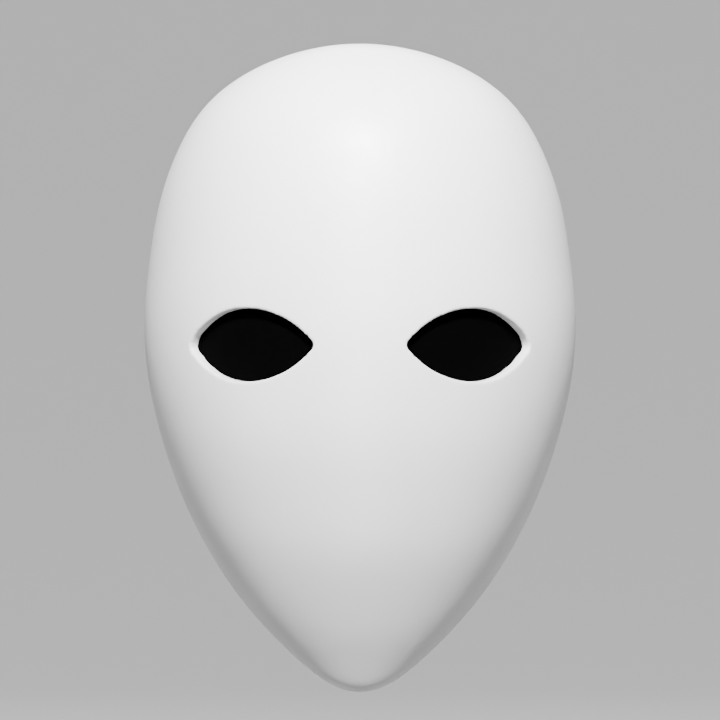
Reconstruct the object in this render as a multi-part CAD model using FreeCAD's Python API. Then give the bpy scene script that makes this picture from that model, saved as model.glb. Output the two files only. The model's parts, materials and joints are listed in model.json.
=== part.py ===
import FreeCAD, Part
import math
import os

# Blank full-face costume mask with eye screens, pads and a swivelling elastic head strap.
#
# Millimetres. +Z is up, the face looks along -Y and X = 0 is the mirror plane; "left" is the
# wearer's left, which is +X. Z = 0 is the height of the eye corners and Y = 0 is the widest line
# of the temples, so the origin lies in the middle of the opening that the head goes into.

V = FreeCAD.Vector
UP = V(0, 0, 1)
SIDEWAYS = V(1, 0, 0)
ORIGIN = V(0, 0, 0)

# ------------------------------------------------------------------ driving dimensions: the shell
mask_height = 239.0
mask_width = 161.0
mask_depth = 88.0            # temple line to the foremost point of the keel
eye_level = 0.5343           # height of the eye corners, as a share of the mask's height
wall = 4.0

# Each line is read against height, 0 at the tip of the chin and 1 at the top of the forehead.
# Half width of the outline, as a share of half the mask's width.
outline = (
    (0.0, 0.0), (0.045, 0.274), (0.138, 0.545), (0.262, 0.777), (0.386, 0.918), (0.49, 0.986),
    (0.59, 1.0), (0.665, 0.977), (0.758, 0.926), (0.836, 0.842), (0.914, 0.685), (0.96, 0.493),
    (1.0, 0.0),
)
# How far the widest line of each level lies in front of the temple line, as a share of the depth.
side_line = ((0.0, 0.62), (0.08, 0.40), (0.2, 0.15), (0.33, 0.03), (0.5, 0.0), (0.62, 0.01),
             (0.75, 0.09), (0.88, 0.21), (1.0, 0.33))
# How far each level bulges in front of that widest line, as a share of the depth.
bulge = ((0.0, 0.0), (0.035, 0.207), (0.09, 0.42), (0.15, 0.61), (0.22, 0.78), (0.3, 0.885),
         (0.38, 0.943), (0.47, 0.958), (0.59, 0.952), (0.74, 0.82), (0.87, 0.594), (0.95, 0.355),
         (1.0, 0.0))
# The keel that stands proud along the middle of the lower face.
keel = ((0.0, 0.0), (0.08, 1.6), (0.18, 3.3), (0.3, 3.9), (0.42, 3.3), (0.53, 1.6), (0.65, 0.5),
        (0.8, 0.0), (1.0, 0.0))
keel_spread = 15.0
# Behind the widest line the surface closes in, by this share of the distance behind it.
tuck = 0.75
# How far the rim lies behind the widest line.
rim_reach = ((0.0, 21.0), (0.1, 13.0), (0.25, 6.0), (0.5, 5.0), (0.75, 7.0), (1.0, 13.0))

# ------------------------------------------------------------------ driving dimensions: the eyes
eye_width = 45.2
eye_height = 26.9
eye_centre_x = 39.8          # mirror plane to the middle of the eye hole
eye_centre_z = -0.3
# Upper half of the almond from its outer to its inner corner: shares of half width, half height.
eye_shape = ((1.0, 0.0), (0.94, 0.25), (0.80, 0.52), (0.54, 0.83), (0.16, 1.0), (-0.24, 0.92),
             (-0.62, 0.64), (-0.88, 0.29), (-1.0, 0.0))
screen_overlap = 3.6         # the screen reaches this far past the hole's edge
screen_thickness = 0.6
frame_inner_lap = 1.4        # the retaining frame's inner and outer edges, past the hole's edge
frame_outer_lap = 7.0
frame_thickness = 1.8
seat_gap = 0.05              # between stacked pieces that are clamped together
screen_screw_radius = 1.0
screen_screw_bite = 2.6      # into the shell's wall
screen_screw_head_radius = 1.9
screen_screw_head_height = 1.3
screen_screw_seat = 0.6      # the head is sunk this far into the frame
screen_screw_reach = 4.8     # past the hole's edge: outside the screen, inside the frame's edge
screen_screw_points = (2, 6) # which points of the almond's upper half the screws stand beside
cross_length = 2.5
cross_width = 0.5
cross_depth = 0.6

# ------------------------------------------------------------------ driving dimensions: the pads
pad_corner = 6.5
glue_line = 0.1
# Angles seen from the middle of the head: turned towards the left, then raised. Thickness last.
brow_pad = ((-25.0, 25.0), (36.5, 46.5), 10.0)
temple_pad = ((38.0, 52.0), (27.0, 45.0), 7.0)
cheek_pad = ((29.0, 44.0), (-41.0, -23.0), 9.0)
chin_pad = ((-10.0, 10.0), (-48.0, -39.0), 8.0)

# ------------------------------------------------------------------ driving dimensions: the strap
pivot_y = -14.0
pivot_z = 8.0
pivot_inset = 9.3            # outside of the mask to the outer face of the swivel tab
boss_radius = 7.0
boss_skin = 1.2              # how far under the outside of the mask the boss is rooted
tab_thickness = 2.3
tab_radius = 9.0
tab_neck = 0.94              # half width of the arm where it leaves the disc, as a share of it
tab_neck_start = 0.34
tab_corner = 2.5
washer_thickness = 0.45
washer_radius = 6.5
shoulder_radius = 3.0
thread_radius = 2.0
thread_length = 3.8
thread_room = 0.2            # the blind hole is this much deeper than the thread
pivot_head_radius = 5.0
pivot_head_height = 2.0
pivot_key = 2.6              # across the flats of the hexagon socket
pivot_key_depth = 1.4
pivot_head_edge = 0.6
running_gap = 0.05
strap_width = 20.0
strap_thickness = 1.4
strap_gap = 0.1              # between the strap and the bar that it is folded round
side_run = 59.5              # tab's bar to where the strap starts to bend round the head
window_length = 3.5
window_side = 0.75           # room beside the strap in every window
bar_length = 3.5
bar_reach = 21.5             # pivot to the front of the tab's bar
tab_rail = 3.2
tail_gap = 0.7               # between the folded tail and the strap that it lies against
tail_length = 56.0           # this and the next three are measured from the tab's bar
fold_end = 5.5
tail_flat = 16.5
slider_centre = 29.5
tip_length = 6.0
tip_skin = 0.5
slider_bar = 3.0
slider_window = 3.5
slider_rail = 2.5
slider_bar_thickness = 1.6
slider_play = 0.2
slider_corner = 1.8

# ------------------------------------------------------------------ sizes that follow
half_width = mask_width / 2
chin_z = -eye_level * mask_height
look_from = V(0, 20.0, chin_z + mask_height / 2)   # middle of the head, behind the whole rim
tab_face = half_width - pivot_inset
boss_face = tab_face + washer_thickness + 2 * running_gap
strap_x = tab_face - tab_thickness / 2             # middle of the tab's bar
fold_inside = tab_thickness / 2 + strap_gap
fold_outside = fold_inside + strap_thickness
bar_y = pivot_y + bar_reach
strap_low = pivot_z - strap_width / 2
back_radius = strap_x + fold_outside
back_y = bar_y + side_run
fold_end_y = bar_y + fold_end
tail_flat_y = bar_y + tail_flat
tail_end_y = bar_y + tail_length
slider_centre_y = bar_y + slider_centre
tail_outside = back_radius - strap_thickness - tail_gap
tail_inside = tail_outside - strap_thickness
screen_top = wall + seat_gap
frame_top = screen_top + screen_thickness + seat_gap
frame_bottom = frame_top + frame_thickness
screw_seat = frame_bottom - screen_screw_seat


# ------------------------------------------------------------------ curves through stated values
class SmoothLine:
    """Natural cubic spline through (place, value) pairs, straight beyond both ends."""

    def __init__(self, pairs):
        self.places = [place for place, value in pairs]
        self.values = [value for place, value in pairs]
        self.bends = self._bends()

    def _bends(self):
        places, values = self.places, self.values
        last = len(places) - 1
        bends = [0.0] * (last + 1)
        factors = [0.0] * (last + 1)
        for i in range(1, last):
            before = places[i] - places[i - 1]
            after = places[i + 1] - places[i]
            jump = (values[i + 1] - values[i]) / after - (values[i] - values[i - 1]) / before
            pivot = 2 * (before + after) - before * factors[i - 1]
            factors[i] = after / pivot
            bends[i] = (6 * jump - before * bends[i - 1]) / pivot
        for i in range(last - 1, 0, -1):
            bends[i] -= factors[i] * bends[i + 1]
        return bends

    def _slope(self, i, end):
        step = self.places[i + 1] - self.places[i]
        rise = (self.values[i + 1] - self.values[i]) / step
        if end == 0:
            return rise - step * (2 * self.bends[i] + self.bends[i + 1]) / 6
        return rise + step * (self.bends[i] + 2 * self.bends[i + 1]) / 6

    def at(self, place):
        places = self.places
        if place <= places[0]:
            return self.values[0] + (place - places[0]) * self._slope(0, 0)
        if place >= places[-1]:
            return self.values[-1] + (place - places[-1]) * self._slope(len(places) - 2, 1)
        i = 0
        while places[i + 1] < place:
            i += 1
        step = places[i + 1] - places[i]
        low = (places[i + 1] - place) / step
        high = (place - places[i]) / step
        curve = (low ** 3 - low) * self.bends[i] + (high ** 3 - high) * self.bends[i + 1]
        return low * self.values[i] + high * self.values[i + 1] + curve * step ** 2 / 6


def squared(pairs, scale):
    return SmoothLine([(place, (value * scale) ** 2) for place, value in pairs])


width_line = squared(outline, half_width)
bulge_line = squared(bulge, mask_depth)
front_of_temples = SmoothLine(side_line)
keel_line = SmoothLine(keel)
rim_line = SmoothLine(rim_reach)


# ------------------------------------------------------------------ the shell's outer surface
def height_share(z):
    return (z - chin_z) / mask_height


def side_y(share):
    return -mask_depth * front_of_temples.at(share)


def keel_at(x, share):
    return keel_line.at(share) * math.exp(-(x / keel_spread) ** 2 / 2)


def level(x, y, z):
    """Negative inside the mask's outer surface, zero on it, positive outside."""
    share = height_share(z)
    width = width_line.at(share)
    ahead = side_y(share) - y - keel_at(x, share)
    if ahead <= 0:
        return x * x - width + (tuck * ahead) ** 2
    depth = bulge_line.at(share)
    if abs(depth) < 1e-9:
        return x * x + ahead * ahead
    return x * x - width + ahead * ahead * width / depth


def outward(point):
    """Unit normal of the outer surface at a point on it."""
    step = 0.01
    x, y, z = point.x, point.y, point.z
    slope = V(
        level(x + step, y, z) - level(x - step, y, z),
        level(x, y + step, z) - level(x, y - step, z),
        level(x, y, z + step) - level(x, y, z - step),
    )
    return slope.normalize()


def seen_point(turn, raise_angle):
    """Where a ray from the middle of the head meets the outer surface."""
    turn = math.radians(turn)
    raise_angle = math.radians(raise_angle)
    ray = V(
        math.sin(turn),
        -math.cos(turn) * math.cos(raise_angle),
        math.cos(turn) * math.sin(raise_angle),
    )
    near, far = 0.0, mask_height
    for _ in range(32):
        middle = (near + far) / 2
        point = look_from + ray * middle
        if level(point.x, point.y, point.z) < 0:
            near = middle
        else:
            far = middle
    return look_from + ray * near


def front_point(x, z):
    """The point of the outer surface straight behind (x, z) as seen from the front."""
    share = height_share(z)
    roundness = math.sqrt(1 - x * x / width_line.at(share))
    y = side_y(share) - keel_at(x, share) - math.sqrt(bulge_line.at(share)) * roundness
    return V(x, y, z)


def steps(low, high, count):
    return [low + (high - low) * i / (count - 1) for i in range(count)]


def side_x(y, z):
    """Half width of the outer surface at (y, z), in front of the widest line."""
    share = height_share(z)
    ahead = side_y(share) - y
    return math.sqrt(width_line.at(share) * (1 - ahead * ahead / bulge_line.at(share)))


def seen_grid(turns, raises):
    grid = []
    for raise_angle in raises:
        row = []
        for turn in turns:
            point = seen_point(turn, raise_angle)
            row.append((point, outward(point)))
        grid.append(row)
    return grid


# ------------------------------------------------------------------ solids that follow the surface
def sunk_face(grid, sink):
    surface = Part.BSplineSurface()
    surface.interpolate([[point - normal * sink for point, normal in row] for row in grid])
    return surface.toShape()


def closed_solid(faces):
    shell = Part.makeShell(faces)
    shell.sewShape()
    return Part.makeSolid(shell.reversed())


def matching_edge(edge, face):
    middle = edge.valueAt((edge.FirstParameter + edge.LastParameter) / 2)
    return min(face.Edges, key=lambda other: other.distToShape(Part.Vertex(middle))[0])


def layer(grid, shallow, deep):
    """The solid between two depths under the outer surface, over the whole grid."""
    outer = sunk_face(grid, shallow)
    inner = sunk_face(grid, deep)
    sides = [Part.makeRuledSurface(edge, matching_edge(edge, inner)) for edge in outer.Edges]
    return closed_solid([outer, inner] + sides)


def through_cutter(corners, shallow, deep):
    """A plug whose wall runs along the surface's own normals, through a closed curve on it."""
    rings = []
    for sink in (shallow, deep):
        curve = Part.BSplineCurve()
        curve.interpolate([point - outward(point) * sink for point in corners], True)
        rings.append(curve.toShape())
    side = Part.makeRuledSurface(rings[0], rings[1])
    caps = [Part.makeFilledFace([ring]) for ring in rings]
    return closed_solid([side] + caps)


def rod(start, direction, length, radius):
    return Part.makeCylinder(radius, length, start, direction)


def mirrored(shape):
    return shape.mirror(ORIGIN, SIDEWAYS)


# ------------------------------------------------------------------ the eyes
def eye_outline(growth):
    """Points on the outer surface round the left eye hole, the hole's edge moved by growth."""
    upper = list(eye_shape)
    lower = [(across, -up) for across, up in reversed(eye_shape[1:-1])]
    points = []
    for across, up in upper + lower:
        x = eye_centre_x + across * (eye_width / 2 + growth)
        z = eye_centre_z + up * (eye_height / 2 + growth)
        points.append(front_point(x, z))
    return points


def eye_plug(growth, shallow, deep):
    return through_cutter(eye_outline(growth), shallow, deep)


def eye_layer(shallow, deep):
    """A patch of the mask large enough for the eye's screen and frame, between two depths."""
    return layer(seen_grid(steps(2, 60, 25), steps(-16, 28, 21)), shallow, deep)


def screen_screw_places():
    """Points on the outer surface over the four screws of the left eye, with their normals."""
    places = []
    for across, up in (eye_shape[index] for index in screen_screw_points):
        for side in (1, -1):
            x = eye_centre_x + across * (eye_width / 2 + screen_screw_reach)
            z = eye_centre_z + side * up * (eye_height / 2 + screen_screw_reach)
            point = front_point(x, z)
            places.append((point, outward(point)))
    return places


def screen_screw(point, normal):
    tip = point - normal * (wall - screen_screw_bite)
    seat = point - normal * screw_seat
    shank = rod(tip, -normal, screw_seat - wall + screen_screw_bite, screen_screw_radius)
    head = rod(seat, -normal, screen_screw_head_height, screen_screw_head_radius)
    slot = Part.makeBox(
        cross_length, cross_width, cross_depth,
        V(-cross_length / 2, -cross_width / 2, screen_screw_head_height - cross_depth),
    )
    cross = slot.fuse(slot.rotated(ORIGIN, UP, 90))
    turn = FreeCAD.Rotation(UP, -normal)
    cross.Placement = FreeCAD.Placement(seat, turn)
    return shank.fuse(head).cut(cross)


def screw_shafts(radius):
    return [rod(point - normal * (wall - screen_screw_bite), -normal, 2 * wall, radius)
            for point, normal in screen_screw_places()]


def make_eye_screen():
    patch = eye_layer(screen_top, screen_top + screen_thickness)
    screen = patch.common(eye_plug(screen_overlap, wall - 1, frame_bottom + 1))
    return screen.cut(screw_shafts(screen_screw_radius))


def make_screen_frame():
    patch = eye_layer(frame_top, frame_bottom)
    ring = patch.common(eye_plug(frame_outer_lap, wall - 1, frame_bottom + 2))
    ring = ring.cut(eye_plug(frame_inner_lap, wall - 1, frame_bottom + 2))
    ring = ring.cut(screw_shafts(screen_screw_radius))
    seats = [rod(point - normal * screw_seat, -normal, wall, screen_screw_head_radius)
             for point, normal in screen_screw_places()]
    return ring.cut(seats)


def make_screen_screws():
    return Part.makeCompound([screen_screw(*place) for place in screen_screw_places()])


# ------------------------------------------------------------------ the shell
def behind_the_rim():
    """Everything behind the rim's curve, which is the same at every X."""
    reach = 2 * mask_width
    shares = steps(-0.12, 1.12, 13)
    points = [V(-reach / 2, side_y(s) + rim_line.at(s), chin_z + s * mask_height) for s in shares]
    curve = Part.BSplineCurve()
    curve.interpolate(points)
    low, high = points[0], points[-1]
    far_low = V(low.x, mask_depth, low.z)
    far_high = V(high.x, mask_depth, high.z)
    loop = Part.Wire([
        curve.toShape(),
        Part.makeLine(high, far_high),
        Part.makeLine(far_high, far_low),
        Part.makeLine(far_low, low),
    ])
    return Part.Face(loop).extrude(V(reach, 0, 0))


def pivot_point(x):
    return V(x, pivot_y, pivot_z)


def make_mask_shell():
    raises = steps(-76, -56, 21)[:-1] + steps(-56, 60, 47)[:-1] + steps(60, 84, 15)
    shell = layer(seen_grid(steps(-82, 82, 67), raises), 0, wall)
    shell = shell.cut(behind_the_rim())
    eye_hole = eye_plug(0, -1.0, wall + 1.0)
    boss_front = pivot_y - boss_radius
    root = min(side_x(boss_front, z) for z in (pivot_z - boss_radius, pivot_z + boss_radius))
    boss = rod(pivot_point(boss_face), SIDEWAYS, root - boss_skin - boss_face, boss_radius)
    thread = rod(pivot_point(boss_face), SIDEWAYS, thread_length + thread_room, thread_radius)
    shafts = screw_shafts(screen_screw_radius)
    bosses = [boss, mirrored(boss)]
    holes = [eye_hole, thread] + shafts
    return shell.fuse(bosses).cut(holes + [mirrored(hole) for hole in holes])


# ------------------------------------------------------------------ the pads
def make_pad(place):
    turns, raises, thickness = place
    grid = seen_grid(steps(*turns, 21), steps(*raises, 15))
    pad = layer(grid, wall + glue_line, wall + glue_line + thickness)
    short = [edge for edge in pad.Edges if abs(edge.Length - thickness) < 0.02]
    return pad.makeFillet(pad_corner, short)


# ------------------------------------------------------------------ the strap's swivel
def make_pivot_screw():
    head_face = tab_face - tab_thickness - running_gap
    head = rod(pivot_point(head_face), -SIDEWAYS, pivot_head_height, pivot_head_radius)
    shoulder = rod(pivot_point(head_face), SIDEWAYS, boss_face - head_face, shoulder_radius)
    thread = rod(pivot_point(boss_face), SIDEWAYS, thread_length, thread_radius)
    outside = head_face - pivot_head_height
    corners = []
    for angle in range(30, 391, 60):
        spoke = V(0, math.cos(math.radians(angle)), math.sin(math.radians(angle)))
        corners.append(pivot_point(outside) + spoke * pivot_key / math.sqrt(3))
    socket = Part.Face(Part.makePolygon(corners)).extrude(SIDEWAYS * pivot_key_depth)
    rim_edges = [edge for edge in head.Edges if abs(edge.BoundBox.XMax - outside) < 0.01]
    head = head.makeFillet(pivot_head_edge, rim_edges)
    return head.fuse([shoulder, thread]).cut(socket)


def make_friction_washer():
    disc = rod(pivot_point(tab_face + running_gap), SIDEWAYS, washer_thickness, washer_radius)
    bore = rod(pivot_point(tab_face), SIDEWAYS, 1.0, shoulder_radius + running_gap)
    return disc.cut(bore)


def side_plate(corners, face, thickness):
    """A plate square to X: corners are (y, z) pairs and the plate lies inboard of face."""
    loop = Part.makePolygon([V(face, y, z) for y, z in corners + corners[:1]])
    return Part.Face(loop).extrude(-SIDEWAYS * thickness)


def make_strap_tab():
    window = strap_width / 2 + window_side
    outer = window + tab_rail
    front = bar_y - window_length - tab_rail
    back = bar_y + bar_length
    neck = tab_radius * tab_neck
    start = pivot_y + tab_radius * tab_neck_start
    disc = rod(pivot_point(tab_face), -SIDEWAYS, tab_thickness, tab_radius)
    arm = side_plate([
        (start, pivot_z - neck), (front, pivot_z - outer), (back, pivot_z - outer),
        (back, pivot_z + outer), (front, pivot_z + outer), (start, pivot_z + neck),
    ], tab_face, tab_thickness)
    across = [edge for edge in arm.Edges if abs(edge.Length - tab_thickness) < 0.01]
    arm = arm.makeFillet(tab_corner, [edge for edge in across if edge.BoundBox.YMin > back - 0.1])
    opening = Part.makeBox(
        tab_thickness + 2, window_length, 2 * window,
        V(tab_face - tab_thickness - 1, bar_y - window_length, pivot_z - window),
    )
    bore = rod(pivot_point(tab_face + 1), -SIDEWAYS, tab_thickness + 2, shoulder_radius + running_gap)
    return arm.fuse(disc).removeSplitter().cut([opening, bore])


# ------------------------------------------------------------------ the strap
def band(faces):
    """Flat faces drawn at the strap's lower edge, raised to the strap's width."""
    solid = faces[0].fuse(faces[1:]).removeSplitter()
    return solid.extrude(UP * strap_width)


def half_ring(centre, inside, outside, start):
    """Half a flat ring at the strap's lower edge, from the start angle in degrees."""
    lower = V(centre.x, centre.y, strap_low)
    disc = Part.Face(Part.Wire(Part.makeCircle(outside, lower, UP)))
    hole = Part.Face(Part.Wire(Part.makeCircle(inside, lower, UP)))
    half = Part.makeBox(2 * outside, outside, 1, V(-outside, 0, -0.5))
    half.rotate(ORIGIN, UP, start)
    half.translate(lower)
    return disc.cut(hole).common(half)


def flat_run(points):
    return Part.Face(Part.makePolygon([V(x, y, strap_low) for x, y in points + points[:1]]))


def strap_side():
    """The left side of the strap: outer run, fold round the tab's bar, and folded tail."""
    outer_run = flat_run([
        (back_radius - strap_thickness, bar_y), (back_radius, bar_y),
        (back_radius, back_y), (back_radius - strap_thickness, back_y),
    ])
    fold = half_ring(V(strap_x, bar_y, 0), fold_inside, fold_outside, 180)
    inner = strap_x - fold_outside
    tail = flat_run([
        (inner, bar_y), (inner + strap_thickness, bar_y), (inner + strap_thickness, fold_end_y),
        (tail_outside, tail_flat_y), (tail_outside, tail_end_y), (tail_inside, tail_end_y),
        (tail_inside, tail_flat_y), (inner, fold_end_y),
    ])
    return band([outer_run, fold, tail])


def make_head_strap():
    back = half_ring(V(0, back_y, 0), back_radius - strap_thickness, back_radius, 0)
    back = back.extrude(UP * strap_width)
    side = strap_side()
    return back.fuse([side, mirrored(side)]).removeSplitter()


def make_strap_tip():
    """A crimped end that wraps the tail of the strap."""
    cap = Part.makeBox(
        strap_thickness + 2 * tip_skin, tip_length, strap_width + 2 * tip_skin,
        V(tail_inside - tip_skin, tail_end_y + tip_skin - tip_length, strap_low - tip_skin),
    )
    tail = Part.makeBox(
        strap_thickness, tip_length, strap_width, V(tail_inside, tail_end_y - tip_length, strap_low),
    )
    return cap.cut(tail)


def make_strap_slider():
    """Three-bar slide: the strap and its tail run over the middle bar and under the outer two."""
    window = strap_width / 2 + window_side
    length = 3 * slider_bar + 2 * slider_window
    low_x = tail_inside - slider_play - slider_bar_thickness
    high_x = back_radius + slider_play + slider_bar_thickness
    front = slider_centre_y - length / 2
    block = Part.makeBox(
        high_x - low_x, length, 2 * (window + slider_rail),
        V(low_x, front, pivot_z - window - slider_rail),
    )
    across = [edge for edge in block.Edges if abs(edge.Length - (high_x - low_x)) < 0.01]
    block = block.makeFillet(slider_corner, across)
    channel = Part.makeBox(
        high_x - low_x - 2 * slider_bar_thickness, length, 2 * window,
        V(low_x + slider_bar_thickness, front, pivot_z - window),
    )
    inner_gaps = [
        Part.makeBox(slider_bar_thickness, slider_bar + slider_window, 2 * window,
                     V(low_x, y, pivot_z - window))
        for y in (front, front + 2 * slider_bar + slider_window)
    ]
    outer_gaps = [
        Part.makeBox(slider_bar_thickness, slider_window, 2 * window,
                     V(high_x - slider_bar_thickness, y, pivot_z - window))
        for y in (front + slider_bar, front + 2 * slider_bar + slider_window)
    ]
    return block.cut([channel] + inner_gaps + outer_gaps)


# ------------------------------------------------------------------ every piece, by name
def all_pieces():
    pieces = {
        "mask_shell": make_mask_shell(),
        "brow_pad": make_pad(brow_pad),
        "chin_pad": make_pad(chin_pad),
        "head_strap": make_head_strap(),
    }
    pairs = {
        "eye_screen": make_eye_screen(),
        "screen_frame": make_screen_frame(),
        "screen_screws": make_screen_screws(),
        "temple_pad": make_pad(temple_pad),
        "cheek_pad": make_pad(cheek_pad),
        "pivot_screw": make_pivot_screw(),
        "friction_washer": make_friction_washer(),
        "strap_tab": make_strap_tab(),
        "strap_tip": make_strap_tip(),
        "strap_slider": make_strap_slider(),
    }
    for name, shape in pairs.items():
        pieces["left_" + name] = shape
        pieces["right_" + name] = mirrored(shape)
    return pieces


os.makedirs("parts", exist_ok=True)
for name, shape in all_pieces().items():
    print(f"{name}: {len(shape.Solids)} solid(s), {shape.Volume / 1000:.2f} cm3")
    if not shape.isValid():
        raise SystemExit(f"{name} isn't a valid shape")
    shape.exportStep(f"parts/{name}.step")
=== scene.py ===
import json
import math

import bpy
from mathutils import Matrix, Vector


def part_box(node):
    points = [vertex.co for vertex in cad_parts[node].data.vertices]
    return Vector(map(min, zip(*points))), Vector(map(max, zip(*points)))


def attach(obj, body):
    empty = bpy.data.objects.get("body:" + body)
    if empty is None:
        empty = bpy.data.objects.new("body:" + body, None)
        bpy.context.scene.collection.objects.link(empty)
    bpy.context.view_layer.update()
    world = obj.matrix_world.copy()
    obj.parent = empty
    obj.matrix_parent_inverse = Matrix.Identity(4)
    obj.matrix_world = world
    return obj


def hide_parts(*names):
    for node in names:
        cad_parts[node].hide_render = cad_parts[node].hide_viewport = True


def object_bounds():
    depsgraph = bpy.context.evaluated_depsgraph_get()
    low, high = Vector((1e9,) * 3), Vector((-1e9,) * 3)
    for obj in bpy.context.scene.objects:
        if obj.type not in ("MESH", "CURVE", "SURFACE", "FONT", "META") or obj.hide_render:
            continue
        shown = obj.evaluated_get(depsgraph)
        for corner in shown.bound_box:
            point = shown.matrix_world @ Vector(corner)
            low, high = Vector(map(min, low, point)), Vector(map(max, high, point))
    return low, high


# Blank white full-face mask on its strap, in a plain pale studio. Metres, in the CAD frame:
# +Z up, the face looks along -Y, +X is the wearer's left.

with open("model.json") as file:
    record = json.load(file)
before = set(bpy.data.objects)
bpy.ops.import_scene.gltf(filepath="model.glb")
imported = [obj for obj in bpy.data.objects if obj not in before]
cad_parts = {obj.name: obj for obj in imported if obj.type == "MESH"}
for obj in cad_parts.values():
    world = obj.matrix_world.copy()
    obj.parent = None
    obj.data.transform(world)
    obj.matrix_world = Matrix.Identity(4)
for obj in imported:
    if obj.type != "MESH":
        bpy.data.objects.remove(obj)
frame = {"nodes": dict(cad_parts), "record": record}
cad_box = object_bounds()
SIDES = ("left", "right")
MM = 0.001


# ------------------------------------------------------------------ meshes
def link(name, mesh):
    piece = bpy.data.objects.new(name, mesh)
    bpy.context.scene.collection.objects.link(piece)
    return piece


def apply_modifiers(piece):
    graph = bpy.context.evaluated_depsgraph_get()
    mesh = bpy.data.meshes.new_from_object(piece.evaluated_get(graph))
    piece.modifiers.clear()
    piece.data = mesh


def eased(share):
    """0 to 1 as share goes from 0 to 1, level at both ends."""
    return share * share * (3 - 2 * share)


def shade_smooth(piece):
    for polygon in piece.data.polygons:
        polygon.use_smooth = True


def softened(node, name, voxel, rounds, material):
    """A remeshed copy of a CAD node, its edges eased by rounds of smoothing, that stands for it."""
    source = frame["nodes"][node]
    piece = link(name, source.data.copy())
    remesh = piece.modifiers.new("remesh", "REMESH")
    remesh.mode = "VOXEL"
    remesh.voxel_size = voxel
    smooth = piece.modifiers.new("smooth", "SMOOTH")
    smooth.factor = 0.5
    smooth.iterations = rounds
    apply_modifiers(piece)
    shade_smooth(piece)
    piece.data.materials.clear()
    piece.data.materials.append(material)
    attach(piece, body_of(node))
    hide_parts(node)
    return piece


def body_of(node):
    bodies = frame["record"]["behaviour"]["bodies"]
    return next(body for body, nodes in bodies.items() if node in nodes)


# ------------------------------------------------------------------ shader building
COLOR_INPUTS = (6, 7)                # the Mix node's two color inputs and its color output
COLOR_OUTPUT = 2
NOISE_SPREAD = (0.3, 0.7)            # nearly all of a noise's values lie between these


class Shader:
    """A small helper that adds and links the nodes of one material."""

    def __init__(self, name, color, roughness, **sockets):
        self.material = bpy.data.materials.new(name)
        self.material.use_nodes = True
        self.tree = self.material.node_tree
        self.surface = self.tree.nodes["Principled BSDF"]
        self.surface.inputs["Base Color"].default_value = (*color, 1)
        self.surface.inputs["Roughness"].default_value = roughness
        for socket, value in sockets.items():
            self.surface.inputs[socket.replace("_", " ")].default_value = value
        self.height = None

    def node(self, kind, links=(), **settings):
        """Adds a node. A setting that starts with a capital is the value of an input."""
        made = self.tree.nodes.new("ShaderNode" + kind)
        for key, value in settings.items():
            if key[0].isupper():
                made.inputs[key.replace("_", " ")].default_value = value
            else:
                setattr(made, key, value)
        for socket, source in dict(links).items():
            self.tree.links.new(source, made.inputs[socket])
        return made

    def place(self, scale=(1, 1, 1)):
        """The place on the piece, stretched by the scale."""
        coordinates = self.node("TexCoord")
        mapping = self.node("Mapping", {"Vector": coordinates.outputs["Object"]}, Scale=scale)
        return mapping.outputs["Vector"]

    def noise(self, size, detail, place=None, roughness=0.5):
        texture = self.node("TexNoise", {"Vector": place or self.place()},
                            Scale=1 / size, Detail=detail, Roughness=roughness)
        return texture.outputs["Fac"]

    def cells(self, size):
        return self.node("TexVoronoi", {"Vector": self.place()}, Scale=1 / size).outputs["Distance"]

    def ramp(self, source, low, high, start, end):
        """Low to high, as the source goes from start to end."""
        ranged = self.node("MapRange", {"Value": source},
                           From_Min=start, From_Max=end, To_Min=low, To_Max=high)
        return ranged.outputs["Result"]

    def blend_colors(self, factor, first, second):
        mix = self.node("Mix", data_type="RGBA")
        self.tree.links.new(factor, mix.inputs["Factor"])
        for index, color in zip(COLOR_INPUTS, (first, second)):
            if isinstance(color, tuple):
                mix.inputs[index].default_value = (*color, 1)
            else:
                self.tree.links.new(color, mix.inputs[index])
        return mix.outputs[COLOR_OUTPUT]

    def math(self, operation, first, second=None):
        made = self.node("Math", operation=operation)
        for index, value in enumerate((first, second)):
            if value is None:
                continue
            if isinstance(value, (int, float)):
                made.inputs[index].default_value = value
            else:
                self.tree.links.new(value, made.inputs[index])
        return made.outputs[0]

    def color(self, source):
        self.tree.links.new(source, self.surface.inputs["Base Color"])

    def roughness(self, source):
        self.tree.links.new(source, self.surface.inputs["Roughness"])

    def bump(self, source, depth):
        """Adds relief depth metres deep on top of any relief there already is."""
        made = self.node("Bump", {"Height": source}, Distance=depth, Strength=1.0)
        if self.height:
            self.tree.links.new(self.height, made.inputs["Normal"])
        self.height = made.outputs["Normal"]
        self.tree.links.new(self.height, self.surface.inputs["Normal"])


# ------------------------------------------------------------------ materials
# Each pair holds the two colors that a material's texture blends between.
WHITE_LACQUER = (0.84, 0.84, 0.845), (0.88, 0.878, 0.875)
BARE_MOULDING = (0.50, 0.49, 0.475), (0.74, 0.73, 0.71)
# The first foam colour is painted shade, for the hollows of the pores.
BLACK_FOAM_AND_PORE_SHADE = (0.012, 0.012, 0.013), (0.06, 0.06, 0.063)
# Both mesh colours are nearly zero: painted shade for the dark eye holes, the second for the gaps
# between threads.
BLACK_MESH_PAINTED_SHADE = (0.0010, 0.0010, 0.0011), (0.0002, 0.0002, 0.0002)
BLACK_PLASTIC = (0.016, 0.016, 0.017), (0.032, 0.032, 0.033)
# The first elastic colour is painted shade, for the grooves between the ribs and yarns.
BLACK_ELASTIC_AND_GROOVE_SHADE = (0.006, 0.006, 0.007), (0.035, 0.035, 0.037)
WHITE_NYLON = (0.68, 0.66, 0.6), (0.76, 0.74, 0.69)
NICKEL = (0.62, 0.60, 0.56)
BLACK_OXIDE = (0.07, 0.07, 0.075)
BARE_ROUGHNESS = 0.85
PLATE_ROUGHNESS = (0.8, 1.4)         # a plated part's brightest and dullest places, as shares
DULL = 0.8                           # how bright those dull places are, as a share


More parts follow.
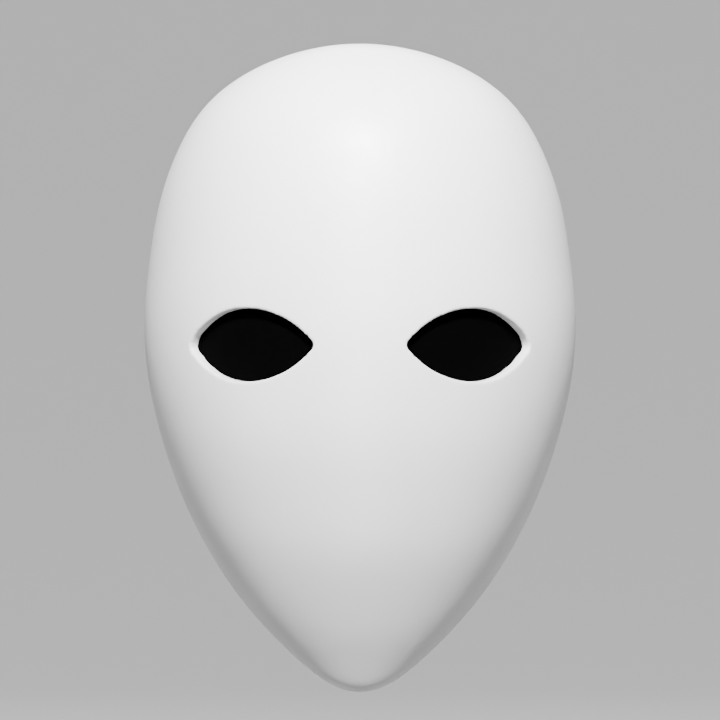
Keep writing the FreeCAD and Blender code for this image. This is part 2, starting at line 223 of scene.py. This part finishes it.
def lacquered_shell():
    """White satin lacquer outside, and the bare fibrous moulding inside."""
    shader = Shader(
        "white_lacquer", (0.86, 0.86, 0.86), 0.5, Coat_Weight=0.06, Coat_Roughness=0.35)
    inside = shader.node("Attribute", attribute_name="inside").outputs["Fac"]
    clouds = shader.ramp(shader.noise(45 * MM, 4), 0, 1, 0.35, 0.65)
    lacquer = shader.blend_colors(clouds, *WHITE_LACQUER)
    fibres = shader.noise(6 * MM, 8, shader.place((1, 1, 0.35)), 0.65)
    bare = shader.blend_colors(fibres, *BARE_MOULDING)
    shader.color(shader.blend_colors(inside, lacquer, bare))
    smudges = shader.ramp(shader.noise(18 * MM, 6), 0.36, 0.50, *NOISE_SPREAD)
    rough = shader.node("Mix", {"Factor": inside, "A": smudges}, data_type="FLOAT", B=BARE_ROUGHNESS)
    shader.roughness(rough.outputs[0])
    shader.bump(shader.noise(1.1 * MM, 2), 0.012 * MM)
    shader.bump(shader.noise(7.5 * MM, 3), 0.06 * MM)
    shader.bump(shader.math("MULTIPLY", fibres, inside), 0.6 * MM)
    return shader.material


def foam():
    """Black open-cell foam, with painted shade that darkens the hollows of its pores."""
    shader = Shader("black_foam", (0.03, 0.03, 0.032), 0.95, Sheen_Weight=0.35, Sheen_Roughness=0.5)
    pores = shader.cells(0.6 * MM)
    # Painted shade: the colour darkens from the cell walls into the hollows of the pores.
    pore_shade = shader.ramp(pores, 0, 1, 0.1, 0.7)
    shader.color(shader.blend_colors(pore_shade, *BLACK_FOAM_AND_PORE_SHADE))
    shader.bump(pores, 0.25 * MM)
    shader.bump(shader.noise(4 * MM, 4), 0.2 * MM)
    return shader.material


MESH_PITCH = 0.55 * MM


def screen_mesh_painted_shade():
    """Dense black woven mesh, drawn as crossing threads. Its colour is nearly zero, painted shade
    for the dark inside the eye holes, and the gaps between the threads are painted darker still.
    """
    shader = Shader("black_screen", (0.002, 0.002, 0.002), 0.9, Specular_IOR_Level=0.02)
    place = shader.node("TexCoord").outputs["Object"]
    split = shader.node("SeparateXYZ", {"Vector": place})
    threads = []
    for axis in ("X", "Z"):
        turns = shader.math("MULTIPLY", split.outputs[axis], 2 * math.pi / MESH_PITCH)
        threads.append(shader.math("ABSOLUTE", shader.math("SINE", turns)))
    weave = shader.math("MINIMUM", *threads)
    # Painted shade: near-black threads, with the gaps between them darker still.
    shader.color(shader.blend_colors(weave, *BLACK_MESH_PAINTED_SHADE))
    shader.bump(weave, -0.1 * MM)
    return shader.material


def moulded_plastic():
    """Black plastic with a fine moulded grain."""
    shader = Shader("black_plastic", (0.02, 0.02, 0.021), 0.5)
    grain = shader.cells(0.35 * MM)
    shader.color(shader.blend_colors(shader.noise(12 * MM, 4), *BLACK_PLASTIC))
    shader.roughness(shader.ramp(shader.noise(3 * MM, 5), 0.42, 0.62, *NOISE_SPREAD))
    shader.bump(grain, 0.03 * MM)
    return shader.material


def plated(name, color, roughness):
    """Metal with dull places and fine turning marks."""
    shader = Shader(name, color, roughness, Metallic=1.0)
    patches = shader.noise(1.5 * MM, 5)
    bounds = [roughness * share for share in PLATE_ROUGHNESS]
    shader.roughness(shader.ramp(patches, *bounds, *NOISE_SPREAD))
    dull = tuple(channel * DULL for channel in color)
    shader.color(shader.blend_colors(shader.noise(4 * MM, 4), color, dull))
    shader.bump(shader.noise(0.6 * MM, 3, shader.place((1, 1, 6))), 0.01 * MM)
    return shader.material


def nylon():
    """Plain off-white nylon."""
    shader = Shader("nylon_washer", (0.72, 0.70, 0.65), 0.55)
    shader.color(shader.blend_colors(shader.noise(3 * MM, 4), *WHITE_NYLON))
    shader.bump(shader.noise(0.5 * MM, 3), 0.01 * MM)
    return shader.material


RIB_PITCH = 1.4 * MM
YARN_PITCH = 0.8 * MM
YARN_SLANT = 1.6 * MM


def elastic_web():
    """Knitted elastic: lengthwise ribs and a fine herringbone, on the strap's own measure, with
    painted shade that darkens the grooves between them.
    """
    shader = Shader(
        "black_elastic", (0.015, 0.015, 0.016), 0.85, Sheen_Weight=0.5, Sheen_Roughness=0.4)
    place = shader.node("UVMap", uv_map="strap").outputs["UV"]
    split = shader.node("SeparateXYZ", {"Vector": place})
    along, across = split.outputs["X"], split.outputs["Y"]
    rib = shader.math("SINE", shader.math("MULTIPLY", across, 2 * math.pi / RIB_PITCH))
    column = shader.math("FRACT", shader.math("DIVIDE", across, 2 * RIB_PITCH))
    zigzag = shader.math("ABSOLUTE", shader.math("SUBTRACT", column, 0.5))
    slanted = shader.math("ADD", along, shader.math("MULTIPLY", zigzag, YARN_SLANT))
    yarn = shader.math("SINE", shader.math("MULTIPLY", slanted, 2 * math.pi / YARN_PITCH))
    halves = [shader.math("MULTIPLY", wave, 0.5) for wave in (rib, yarn)]
    weave = shader.math("ADD", *halves)
    # Painted shade: the colour darkens into the grooves of the ribs and yarns, where the relief is
    # low.
    shader.color(shader.blend_colors(shader.ramp(weave, 0, 1, -0.8, 0.9), *BLACK_ELASTIC_AND_GROOVE_SHADE))
    shader.bump(weave, 0.12 * MM)
    shader.bump(shader.noise(0.3 * MM, 4), 0.04 * MM)
    return shader.material


# ------------------------------------------------------------------ the shell and the pads
HEAD_BACK = 20 * MM                  # the middle of the head lies this far behind the temples
INSIDE_FACING = -0.25                # faces that look back at the head more than this are inside
SHELL_VOXEL = 0.6 * MM
SHELL_ROUNDS = 8
PAD_VOXEL = 0.5 * MM
PAD_ROUNDS = 16


def head_middle():
    low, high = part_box("mask_shell")
    return Vector((0, HEAD_BACK, (low.z + high.z) / 2))


def make_shell():
    """The shell, with its inner faces marked for the bare moulding."""
    lacquer = lacquered_shell()
    shell = softened("mask_shell", "mask_shell_skin", SHELL_VOXEL, SHELL_ROUNDS, lacquer)
    head = head_middle()
    inside = shell.data.attributes.new("inside", "FLOAT", "POINT")
    for vertex in shell.data.vertices:
        facing = vertex.normal.dot((vertex.co - head).normalized())
        inside.data[vertex.index].value = 1.0 if facing < INSIDE_FACING else 0.0


PAD_CORNER = 6.5 * MM
CROWN_DROP = 2.2 * MM                # at the pad's edge
CROWN_RUN = 7 * MM                   # from the edge to where the pad is at its full thickness
SEAM_INSET = 2.8 * MM
SEAM_WIDTH = 0.5 * MM
SEAM_DEPTH = 0.6 * MM


def edge_distance(first, second):
    """Distance to the edge of a rounded oblong, from the distances to its two nearest sides."""
    if first < PAD_CORNER and second < PAD_CORNER:
        return PAD_CORNER - math.hypot(PAD_CORNER - first, PAD_CORNER - second)
    return min(first, second)


def span(values):
    """The middle of the values, and how far they reach to each side of it."""
    low, high = min(values), max(values)
    return (low + high) / 2, (high - low) / 2


def crown(pad, head):
    """Rounds the face that lies against the wearer down to its edges, and welds a seam round it."""
    rays = [vertex.co - head for vertex in pad.data.vertices]
    turns = [math.atan2(ray.x, math.hypot(ray.y, ray.z)) for ray in rays]
    rises = [math.atan2(ray.z, -ray.y) for ray in rays]
    turn_middle, turn_half = span(turns)
    rise_middle, rise_half = span(rises)
    moves = []
    for vertex, ray, turn, rise in zip(pad.data.vertices, rays, turns, rises):
        across = (turn_half - abs(turn - turn_middle)) * ray.length
        up = (rise_half - abs(rise - rise_middle)) * ray.length * math.cos(turn)
        inset = max(0.0, edge_distance(across, up))
        drop = CROWN_DROP * (1 - eased(min(1.0, inset / CROWN_RUN)))
        drop += SEAM_DEPTH * math.exp(-((inset - SEAM_INSET) / SEAM_WIDTH) ** 2)
        outward = ray.normalized()
        moves.append(outward * drop * max(0.0, -vertex.normal.dot(outward)))
    for vertex, move in zip(pad.data.vertices, moves):
        vertex.co += move


def make_pads(material):
    pads = ["brow_pad", "chin_pad"]
    pads += [f"{side}_{name}" for side in SIDES for name in ("temple_pad", "cheek_pad")]
    for name in pads:
        pad = softened(name, name + "_soft", PAD_VOXEL, PAD_ROUNDS, material)
        crown(pad, head_middle())


# ------------------------------------------------------------------ the strap
STRAP_THICKNESS = 1.4 * MM
TIP_SKIN = 0.5 * MM
BAR_LENGTH = 3.5 * MM
FOLD_GAP = 0.1 * MM
FOLD_END = 5.5 * MM                  # the tail leans out to the strap from here to the next,
TAIL_FLAT = 16.5 * MM                # both measured from the tab's bar
RIB_HEIGHT = 0.07 * MM
RIB_ROWS = 6                         # rows of points across each rib
EDGE_ROUND = 0.7                     # these are shares of half the strap's thickness
CORNER = (0.75, 0.25)
BRIM = 0.3
STEP = 0.8 * MM                      # along the strap
FEWEST_STEPS = 12                    # in an arc
SAME_PLACE = 0.05 * MM               # points closer than this are one


def arc(centre, radius, start, end):
    """Points round a centre, from one angle to another."""
    count = max(FEWEST_STEPS, int(abs(end - start) * radius / STEP))
    angles = [start + (end - start) * i / count for i in range(count + 1)]
    return [Vector(centre) + radius * Vector((math.cos(a), math.sin(a))) for a in angles]


def run(start, end):
    """Points along a straight line."""
    start, end = Vector(start), Vector(end)
    count = max(2, int((end - start).length / STEP))
    return [start.lerp(end, i / count) for i in range(count + 1)]


def lean(start, end):
    """A smooth sideways shift from one straight line to the next, both along Y."""
    count = int((end[1] - start[1]) / STEP)
    points = []
    for i in range(count + 1):
        share = i / count
        x = start[0] + (end[0] - start[0]) * eased(share)
        y = start[1] + (end[1] - start[1]) * share
        points.append(Vector((x, y)))
    return points


def strap_route():
    """The middle of the strap in plan, from the end of the left tail to that of the right."""
    strap_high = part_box("head_strap")[1]
    tab_low, tab_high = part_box("left_strap_tab")
    tip_low, tip_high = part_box("left_strap_tip")
    run_x = strap_high.x - STRAP_THICKNESS / 2
    tail_x = (tip_low.x + tip_high.x) / 2
    bar_y = tab_high.y - BAR_LENGTH
    bar_x = (tab_low.x + tab_high.x) / 2
    fold = (tab_high.x - tab_low.x) / 2 + FOLD_GAP + STRAP_THICKNESS / 2
    back_y = strap_high.y - strap_high.x
    fold_end = (bar_x - fold, bar_y + FOLD_END)
    tail_flat = (tail_x, bar_y + TAIL_FLAT)
    left = run((tail_x, tip_high.y - TIP_SKIN), tail_flat)
    left += reversed(lean(fold_end, tail_flat))
    left += run(fold_end, (bar_x - fold, bar_y))
    left += arc((bar_x, bar_y), fold, math.pi, 2 * math.pi)
    left += run((run_x, bar_y), (run_x, back_y))
    back = arc((0, back_y), run_x, 0, math.pi)
    right = [Vector((-point.x, point.y)) for point in reversed(left)]
    route = []
    for point in left + back + right:
        if not route or (point - route[-1]).length > SAME_PLACE:
            route.append(point)
    return route


def strap_section(height):
    """(sideways, upward) points round the strap's section: ribbed faces and rounded edges."""
    half = height / 2
    edge = STRAP_THICKNESS / 2
    rows = int(height * RIB_ROWS / RIB_PITCH)
    lowest = -half + edge * EDGE_ROUND
    face = []
    for i in range(rows + 1):
        up = lowest - 2 * lowest * i / rows
        rib = RIB_HEIGHT * (math.cos(2 * math.pi * up / RIB_PITCH) - 1) / 2
        face.append((edge + rib, up))
    corner = (edge * CORNER[0], half - edge * CORNER[1])
    brim = (edge * BRIM, half)
    cap = [corner, brim, (-brim[0], brim[1]), (-corner[0], corner[1])]
    outer = face + cap
    return outer + [(-side, -up) for side, up in outer]


def make_strap(material):
    """Sweeps the section along the route, with the strap's own measure as its UV."""
    low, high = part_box("head_strap")
    middle = (low.z + high.z) / 2
    route = strap_route()
    section = strap_section(high.z - low.z)
    count = len(section)
    vertices, measures = [], []
    travelled = 0.0
    for i, point in enumerate(route):
        before = route[max(i - 1, 0)]
        after = route[min(i + 1, len(route) - 1)]
        if i:
            travelled += (point - before).length
        ahead = (after - before).normalized()
        sideways = Vector((ahead.y, -ahead.x))
        for side, up in section:
            vertices.append((point.x + sideways.x * side, point.y + sideways.y * side, middle + up))
            measures.append((travelled, up))
    faces = []
    for i in range(len(route) - 1):
        for j in range(count):
            k = (j + 1) % count
            faces.append((i * count + j, i * count + k, (i + 1) * count + k, (i + 1) * count + j))
    faces.append(tuple(reversed(range(count))))
    faces.append(tuple(range((len(route) - 1) * count, len(route) * count)))
    mesh = bpy.data.meshes.new("head_strap_web")
    mesh.from_pydata(vertices, [], faces)
    layer = mesh.uv_layers.new(name="strap")
    for loop in mesh.loops:
        layer.data[loop.index].uv = measures[loop.vertex_index]
    mesh.materials.append(material)
    strap = link("head_strap_web", mesh)
    shade_smooth(strap)
    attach(strap, "strap")
    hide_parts("head_strap")


# ------------------------------------------------------------------ hardware and screens
def paint(node, material):
    node_object = frame["nodes"][node]
    for slot in node_object.material_slots:
        slot.material = material


def make_hardware(plastic):
    """The small hard parts: the moulded and turned ones get eased edges."""
    nickel = plated("nickel_plate", NICKEL, 0.22)
    black_steel = plated("black_oxide", BLACK_OXIDE, 0.4)
    washer = nylon()
    screen = screen_mesh_painted_shade()
    # Piece, what is added to its name, voxel, rounds of smoothing, material.
    eased_pieces = (
        ("screen_frame", "ring", 0.25 * MM, 3, plastic),
        ("strap_tab", "moulding", 0.22 * MM, 4, plastic),
        ("strap_slider", "moulding", 0.2 * MM, 4, plastic),
        ("strap_tip", "crimp", 0.12 * MM, 2, nickel),
        ("pivot_screw", "turned", 0.1 * MM, 2, nickel),
    )
    for side in SIDES:
        for piece, ending, voxel, rounds, material in eased_pieces:
            softened(f"{side}_{piece}", f"{side}_{piece}_{ending}", voxel, rounds, material)
        paint(f"{side}_screen_screws", black_steel)
        paint(f"{side}_friction_washer", washer)
        paint(f"{side}_eye_screen", screen)


# ------------------------------------------------------------------ studio and camera
FLOOR_DROP = 0.25
FLOOR_RADIUS = 6.0
FLOOR_TURNS = 96
SWEEP_RADIUS = 2.0
SWEEP_STEPS = 12
WALL_HEIGHT = 4.0
PAPER = (0.78, 0.78, 0.78)
WORLD_STRENGTH = 0.1

# Lamps: sizes in metres, powers in watts, spreads in degrees.
FOREHEAD = Vector((0, -0.05, 0.075))  # from the middle height of the CAD model
KEY_OFFSET = Vector((0, -1.0, 0.9))
KEY_SIZE, KEY_POWER, KEY_SPREAD = 0.25, 1.15, 13
ROOM_LAMP_SIZE, ROOM_LAMP_SPREAD = 2.0, 180
ROOM_LAMP_HEIGHT = 3.5
BACKDROP_LAMP_Y, BACKDROP_Y, BACKDROP_POWER = 3.2, 4.0, 170
WALL_LAMP_OUT, WALL_LAMP_POWER = 3.0, 90
WALL_AIM_HEIGHT = -0.5               # of the place on the wall that each wall lamp points at


def make_floor():
    """A pale round floor that sweeps up into a wall all round, far outside every camera."""
    floor_z = cad_box[0].z - FLOOR_DROP
    profile = [(FLOOR_RADIUS / 2, 0.0), (FLOOR_RADIUS, 0.0)]
    for i in range(1, SWEEP_STEPS + 1):
        angle = math.pi / 2 * i / SWEEP_STEPS
        out = FLOOR_RADIUS + SWEEP_RADIUS * math.sin(angle)
        profile.append((out, SWEEP_RADIUS * (1 - math.cos(angle))))
    profile.append((FLOOR_RADIUS + SWEEP_RADIUS, SWEEP_RADIUS + WALL_HEIGHT))
    vertices = [(0, 0, floor_z)]
    for radius, rise in profile:
        for j in range(FLOOR_TURNS):
            angle = 2 * math.pi * j / FLOOR_TURNS
            vertices.append((radius * math.cos(angle), radius * math.sin(angle), floor_z + rise))
    faces = [(0, 1 + j, 1 + (j + 1) % FLOOR_TURNS) for j in range(FLOOR_TURNS)]
    for i in range(len(profile) - 1):
        inner = 1 + i * FLOOR_TURNS
        outer = inner + FLOOR_TURNS
        for j in range(FLOOR_TURNS):
            k = (j + 1) % FLOOR_TURNS
            faces.append((inner + j, outer + j, outer + k, inner + k))
    mesh = bpy.data.meshes.new("studio_floor")
    mesh.from_pydata(vertices, [], faces)
    floor = link("studio_floor", mesh)
    shade_smooth(floor)
    mesh.materials.append(Shader("studio_paper", PAPER, 0.9).material)


def make_light(name, place, target, size, power, spread):
    """A round area lamp that the camera doesn't see."""
    data = bpy.data.lights.new(name, "AREA")
    data.shape = "DISK"
    data.size = size
    data.energy = power
    data.spread = math.radians(spread)
    light = bpy.data.objects.new(name, data)
    light.location = place
    light.rotation_euler = (Vector(target) - Vector(place)).to_track_quat("-Z", "Y").to_euler()
    light.visible_camera = False
    bpy.context.scene.collection.objects.link(light)


def make_studio(centre):
    """One soft lamp well above the front lights the mask, and the others light the surroundings."""
    make_floor()
    forehead = centre + FOREHEAD
    make_light("key_light", forehead + KEY_OFFSET, forehead, KEY_SIZE, KEY_POWER, KEY_SPREAD)
    lamp = (0, BACKDROP_LAMP_Y, ROOM_LAMP_HEIGHT)
    make_light("backdrop_light", lamp, (0, BACKDROP_Y, 0),
               ROOM_LAMP_SIZE, BACKDROP_POWER, ROOM_LAMP_SPREAD)
    wall = FLOOR_RADIUS + SWEEP_RADIUS
    for name, x, y in (("front", 0, -1), ("left", 1, 0), ("right", -1, 0)):
        lamp = (x * WALL_LAMP_OUT, y * WALL_LAMP_OUT, ROOM_LAMP_HEIGHT)
        make_light(name + "_wall_light", lamp, (x * wall, y * wall, WALL_AIM_HEIGHT),
                   ROOM_LAMP_SIZE, WALL_LAMP_POWER, ROOM_LAMP_SPREAD)
    world = bpy.data.worlds.new("studio_world")
    world.use_nodes = True
    background = world.node_tree.nodes["Background"]
    background.inputs["Color"].default_value = (1, 1, 1, 1)
    background.inputs["Strength"].default_value = WORLD_STRENGTH
    bpy.context.scene.world = world


LENS = 400
SENSOR = 36
OUTLINE_PLANE = 27 * MM              # the mask's outline lies this far in front of the temples
VIEW_SPAN = 1.1163                   # what the camera takes in, and how far above the mask's middle
VIEW_LIFT = 0.01008                  # it looks, both as shares of the mask's height


def make_camera():
    """Level and dead ahead, through a long lens."""
    low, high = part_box("mask_shell")
    data = bpy.data.cameras.new("camera")
    data.lens = LENS
    data.sensor_width = SENSOR
    camera = bpy.data.objects.new("camera", data)
    height = high.z - low.z
    distance = height * VIEW_SPAN * LENS / SENSOR
    camera.location = (0, -distance - OUTLINE_PLANE, (low.z + high.z) / 2 + height * VIEW_LIFT)
    camera.rotation_euler = (math.pi / 2, 0, 0)
    bpy.context.scene.collection.objects.link(camera)
    bpy.context.scene.camera = camera


make_shell()
make_pads(foam())
make_strap(elastic_web())
make_hardware(moulded_plastic())
make_studio(Vector((0, 0, (cad_box[0].z + cad_box[1].z) / 2)))
make_camera()
